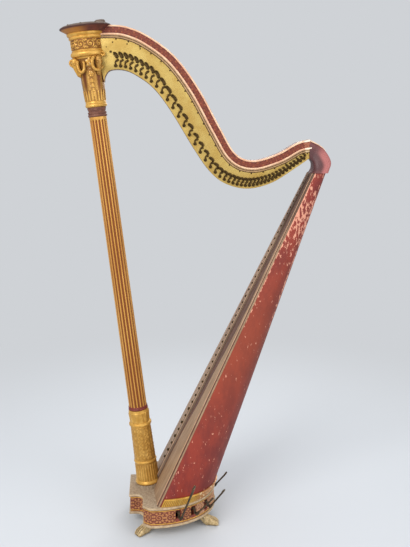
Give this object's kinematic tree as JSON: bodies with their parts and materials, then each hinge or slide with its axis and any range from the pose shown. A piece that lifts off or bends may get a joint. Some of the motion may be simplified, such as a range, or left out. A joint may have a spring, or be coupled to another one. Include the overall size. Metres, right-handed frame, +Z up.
{
  "type": "pedal harp",
  "caption": "Upright concert harp with a fluted column, ram's-head capital, curved neck with brass action plates, leaning soundbox and folding pedals.",
  "frame": {"origin": "on the floor under the middle of the harp's depth and width", "axes": "+Z up; the column stands on the -X side and the player sits on the +X side; -Y is the player's left, the side with the tuning pins"},
  "size_m": [0.8623, 0.4096, 1.6824],
  "materials": {
    "gilt": "gilded gesso, worn",
    "fluted_gilt": "gilded flutes over red ground",
    "red_paint": "red paint, worn",
    "dark_red": "dark red paint",
    "base_red": "red paint with gilt ornament, worn",
    "worn_board": "bare and flaking paint",
    "spruce": "varnished spruce",
    "crown_wood": "grey-green stained wood",
    "brass": "brushed, lightly tarnished",
    "dark_iron": "dark forged iron",
    "paw_gilt": "pale gilt wood, worn"
  },
  "bodies": {
    "frame": {"action_plate_left": "brass", "action_plate_right": "brass", "base_plate": "worn_board", "base_top": "worn_board", "base_wall": "base_red", "capital": "gilt", "column_collar": "dark_red", "column_foot": "gilt", "column_plinth": "worn_board", "column_shaft": "fluted_gilt", "crown": "gilt", "crown_lid": "crown_wood", "neck": "dark_red", "paw_back_left": "paw_gilt", "paw_back_right": "paw_gilt", "paw_front_left": "paw_gilt", "paw_front_right": "paw_gilt", "shoulder": "dark_red", "soundboard": "spruce", "soundbox_band": "gilt", "soundbox_shell": "red_paint", "string_rib": "spruce"},
    "pedal_d": {"pedal_d_lever": "dark_iron"},
    "pedal_d_tread": {"pedal_d_foot": "dark_iron"},
    "pedal_d_pull": {"pedal_d_rod": "dark_iron"},
    "pedal_c": {"pedal_c_lever": "dark_iron"},
    "pedal_c_tread": {"pedal_c_foot": "dark_iron"},
    "pedal_c_pull": {"pedal_c_rod": "dark_iron"},
    "pedal_b": {"pedal_b_lever": "dark_iron"},
    "pedal_b_tread": {"pedal_b_foot": "dark_iron"},
    "pedal_b_pull": {"pedal_b_rod": "dark_iron"},
    "pedal_e": {"pedal_e_lever": "dark_iron"},
    "pedal_e_tread": {"pedal_e_foot": "dark_iron"},
    "pedal_e_pull": {"pedal_e_rod": "dark_iron"},
    "pedal_f": {"pedal_f_lever": "dark_iron"},
    "pedal_f_tread": {"pedal_f_foot": "dark_iron"},
    "pedal_f_pull": {"pedal_f_rod": "dark_iron"},
    "pedal_g": {"pedal_g_lever": "dark_iron"},
    "pedal_g_tread": {"pedal_g_foot": "dark_iron"},
    "pedal_g_pull": {"pedal_g_rod": "dark_iron"},
    "pedal_a": {"pedal_a_lever": "dark_iron"},
    "pedal_a_tread": {"pedal_a_foot": "dark_iron"},
    "pedal_a_pull": {"pedal_a_rod": "dark_iron"},
    "fork_13_body": {"fork_13": "brass"},
    "fork_14_body": {"fork_14": "brass"},
    "fork_15_body": {"fork_15": "brass"},
    "fork_16_body": {"fork_16": "brass"},
    "fork_17_body": {"fork_17": "brass"},
    "fork_18_body": {"fork_18": "brass"},
    "fork_19_body": {"fork_19": "brass"},
    "fork_20_body": {"fork_20": "brass"},
    "fork_21_body": {"fork_21": "brass"},
    "fork_22_body": {"fork_22": "brass"},
    "fork_23_body": {"fork_23": "brass"},
    "fork_24_body": {"fork_24": "brass"},
    "fork_25_body": {"fork_25": "brass"},
    "fork_26_body": {"fork_26": "brass"}
  },
  "joints": [
    {"name": "pedal_d_press", "type": "hinge", "parent": "frame", "child": "pedal_d", "pos_m": [-0.14115, -0.0629, 0.089], "axis": [0.8387, 0.5446, 0], "range_deg": [0, 8], "stiffness_Nm_per_rad": 12, "springref_deg": -6.88},
    {"name": "pedal_d_unfold", "type": "hinge", "parent": "pedal_d", "child": "pedal_d_tread", "pos_m": [-0.06981, -0.17276, 0.075], "axis": [0.5, 0.866, 0], "range_deg": [0, 68]},
    {"name": "pedal_d_rod_slide", "type": "slide", "parent": "frame", "child": "pedal_d_pull", "axis": [-0.1103, 0, 0.9939], "range_m": [0, 0.0105]},
    {"name": "pedal_c_press", "type": "hinge", "parent": "frame", "child": "pedal_c", "pos_m": [-0.1254, -0.0492, 0.089], "axis": [0.6561, 0.7547, 0], "range_deg": [0, 8], "stiffness_Nm_per_rad": 12, "springref_deg": -6.88},
    {"name": "pedal_c_unfold", "type": "hinge", "parent": "pedal_c", "child": "pedal_c_tread", "pos_m": [-0.01457, -0.14554, 0.075], "axis": [0.5, 0.866, 0], "range_deg": [0, 50]},
    {"name": "pedal_c_rod_slide", "type": "slide", "parent": "frame", "child": "pedal_c_pull", "axis": [-0.1103, 0, 0.9939], "range_m": [0, 0.0105]},
    {"name": "pedal_b_press", "type": "hinge", "parent": "frame", "child": "pedal_b", "pos_m": [-0.11403, -0.0317, 0.089], "axis": [0.4226, 0.9063, 0], "range_deg": [0, 8], "stiffness_Nm_per_rad": 12, "springref_deg": -6.88},
    {"name": "pedal_b_unfold", "type": "hinge", "parent": "pedal_b", "child": "pedal_b_tread", "pos_m": [0.03335, -0.10042, 0.075], "axis": [0.5299, 0.848, 0], "range_deg": [0, 54]},
    {"name": "pedal_b_rod_slide", "type": "slide", "parent": "frame", "child": "pedal_b_pull", "axis": [-0.1103, 0, 0.9939], "range_m": [0, 0.0105]},
    {"name": "pedal_e_press", "type": "hinge", "parent": "frame", "child": "pedal_e", "pos_m": [-0.10838, 0.01431, 0.089], "axis": [-0.1908, 0.9816, 0], "range_deg": [0, 8], "stiffness_Nm_per_rad": 12, "springref_deg": -6.88},
    {"name": "pedal_e_unfold", "type": "hinge", "parent": "pedal_e", "child": "pedal_e_tread", "pos_m": [0.06083, 0.0472, 0.075], "axis": [0.4067, 0.9135, 0], "range_deg": [0, 52]},
    {"name": "pedal_e_rod_slide", "type": "slide", "parent": "frame", "child": "pedal_e_pull", "axis": [-0.1103, 0, 0.9939], "range_m": [0, 0.0105]},
    {"name": "pedal_f_press", "type": "hinge", "parent": "frame", "child": "pedal_f", "pos_m": [-0.11517, 0.03405, 0.089], "axis": [-0.454, 0.891, 0], "range_deg": [0, 8], "stiffness_Nm_per_rad": 12, "springref_deg": -6.88},
    {"name": "pedal_f_unfold", "type": "hinge", "parent": "pedal_f", "child": "pedal_f_tread", "pos_m": [0.02811, 0.10705, 0.075], "axis": [-0.4695, 0.8829, 0], "range_deg": [0, 84]},
    {"name": "pedal_f_rod_slide", "type": "slide", "parent": "frame", "child": "pedal_f_pull", "axis": [-0.1103, 0, 0.9939], "range_m": [0, 0.0105]},
    {"name": "pedal_g_press", "type": "hinge", "parent": "frame", "child": "pedal_g", "pos_m": [-0.12715, 0.05115, 0.089], "axis": [-0.682, 0.7314, 0], "range_deg": [0, 8], "stiffness_Nm_per_rad": 12, "springref_deg": -6.88},
    {"name": "pedal_g_unfold", "type": "hinge", "parent": "pedal_g", "child": "pedal_g_tread", "pos_m": [-0.02126, 0.14989, 0.075], "axis": [-0.6561, 0.7547, 0], "range_deg": [0, 84]},
    {"name": "pedal_g_rod_slide", "type": "slide", "parent": "frame", "child": "pedal_g_pull", "axis": [-0.1103, 0, 0.9939], "range_m": [0, 0.0105]},
    {"name": "pedal_a_press", "type": "hinge", "parent": "frame", "child": "pedal_a", "pos_m": [-0.14337, 0.06429, 0.089], "axis": [-0.8572, 0.515, 0], "range_deg": [0, 8], "stiffness_Nm_per_rad": 12, "springref_deg": -6.88},
    {"name": "pedal_a_unfold", "type": "hinge", "parent": "pedal_a", "child": "pedal_a_tread", "pos_m": [-0.07684, 0.17501, 0.075], "axis": [-0.6428, 0.766, 0], "range_deg": [0, 78]},
    {"name": "pedal_a_rod_slide", "type": "slide", "parent": "frame", "child": "pedal_a_pull", "axis": [-0.1103, 0, 0.9939], "range_m": [0, 0.0105]},
    {"name": "fork_13_turn", "type": "hinge", "parent": "frame", "child": "fork_13_body", "pos_m": [-0.06543, -0.0203, 1.38858], "axis": [0, 1, 0], "range_deg": [0, 45.5]},
    {"name": "fork_14_turn", "type": "hinge", "parent": "frame", "child": "fork_14_body", "pos_m": [-0.04801, -0.0203, 1.35984], "axis": [0, 1, 0], "range_deg": [0, 45.5]},
    {"name": "fork_15_turn", "type": "hinge", "parent": "frame", "child": "fork_15_body", "pos_m": [-0.03063, -0.0203, 1.33071], "axis": [0, 1, 0], "range_deg": [0, 45.5]},
    {"name": "fork_16_turn", "type": "hinge", "parent": "frame", "child": "fork_16_body", "pos_m": [-0.01342, -0.0203, 1.30244], "axis": [0, 1, 0], "range_deg": [0, 45.5]},
    {"name": "fork_17_turn", "type": "hinge", "parent": "frame", "child": "fork_17_body", "pos_m": [0.00347, -0.0203, 1.27623], "axis": [0, 1, 0], "range_deg": [0, 45.5]},
    {"name": "fork_18_turn", "type": "hinge", "parent": "frame", "child": "fork_18_body", "pos_m": [0.02016, -0.0203, 1.25116], "axis": [0, 1, 0], "range_deg": [0, 45.5]},
    {"name": "fork_19_turn", "type": "hinge", "parent": "frame", "child": "fork_19_body", "pos_m": [0.0364, -0.0203, 1.22936], "axis": [0, 1, 0], "range_deg": [0, 45.5]},
    {"name": "fork_20_turn", "type": "hinge", "parent": "frame", "child": "fork_20_body", "pos_m": [0.05206, -0.0203, 1.21212], "axis": [0, 1, 0], "range_deg": [0, 45.5]},
    {"name": "fork_21_turn", "type": "hinge", "parent": "frame", "child": "fork_21_body", "pos_m": [0.06723, -0.0203, 1.19851], "axis": [0, 1, 0], "range_deg": [0, 45.5]},
    {"name": "fork_22_turn", "type": "hinge", "parent": "frame", "child": "fork_22_body", "pos_m": [0.08188, -0.0203, 1.18884], "axis": [0, 1, 0], "range_deg": [0, 45.5]},
    {"name": "fork_23_turn", "type": "hinge", "parent": "frame", "child": "fork_23_body", "pos_m": [0.09613, -0.0203, 1.18209], "axis": [0, 1, 0], "range_deg": [0, 45.5]},
    {"name": "fork_24_turn", "type": "hinge", "parent": "frame", "child": "fork_24_body", "pos_m": [0.11012, -0.0203, 1.17694], "axis": [0, 1, 0], "range_deg": [0, 45.5]},
    {"name": "fork_25_turn", "type": "hinge", "parent": "frame", "child": "fork_25_body", "pos_m": [0.12389, -0.0203, 1.17309], "axis": [0, 1, 0], "range_deg": [0, 45.5]},
    {"name": "fork_26_turn", "type": "hinge", "parent": "frame", "child": "fork_26_body", "pos_m": [0.13744, -0.0203, 1.17047], "axis": [0, 1, 0], "range_deg": [0, 45.5]}
  ],
  "couplings": [
    {"joint": "pedal_d_rod_slide", "follows": "pedal_d_press", "m_per_rad": 0.0645},
    {"joint": "pedal_c_rod_slide", "follows": "pedal_c_press", "m_per_rad": 0.0645},
    {"joint": "pedal_b_rod_slide", "follows": "pedal_b_press", "m_per_rad": 0.0645},
    {"joint": "pedal_e_rod_slide", "follows": "pedal_e_press", "m_per_rad": 0.0645},
    {"joint": "pedal_f_rod_slide", "follows": "pedal_f_press", "m_per_rad": 0.0645},
    {"joint": "pedal_g_rod_slide", "follows": "pedal_g_press", "m_per_rad": 0.0645},
    {"joint": "pedal_a_rod_slide", "follows": "pedal_a_press", "m_per_rad": 0.0645},
    {"joint": "fork_13_turn", "follows": "pedal_c_press", "ratio": 5.625},
    {"joint": "fork_14_turn", "follows": "pedal_d_press", "ratio": 5.625},
    {"joint": "fork_15_turn", "follows": "pedal_e_press", "ratio": 5.625},
    {"joint": "fork_16_turn", "follows": "pedal_f_press", "ratio": 5.625},
    {"joint": "fork_17_turn", "follows": "pedal_g_press", "ratio": 5.625},
    {"joint": "fork_18_turn", "follows": "pedal_a_press", "ratio": 5.625},
    {"joint": "fork_19_turn", "follows": "pedal_b_press", "ratio": 5.625},
    {"joint": "fork_20_turn", "follows": "pedal_c_press", "ratio": 5.625},
    {"joint": "fork_21_turn", "follows": "pedal_d_press", "ratio": 5.625},
    {"joint": "fork_22_turn", "follows": "pedal_e_press", "ratio": 5.625},
    {"joint": "fork_23_turn", "follows": "pedal_f_press", "ratio": 5.625},
    {"joint": "fork_24_turn", "follows": "pedal_g_press", "ratio": 5.625},
    {"joint": "fork_25_turn", "follows": "pedal_a_press", "ratio": 5.625},
    {"joint": "fork_26_turn", "follows": "pedal_b_press", "ratio": 5.625}
  ]
}
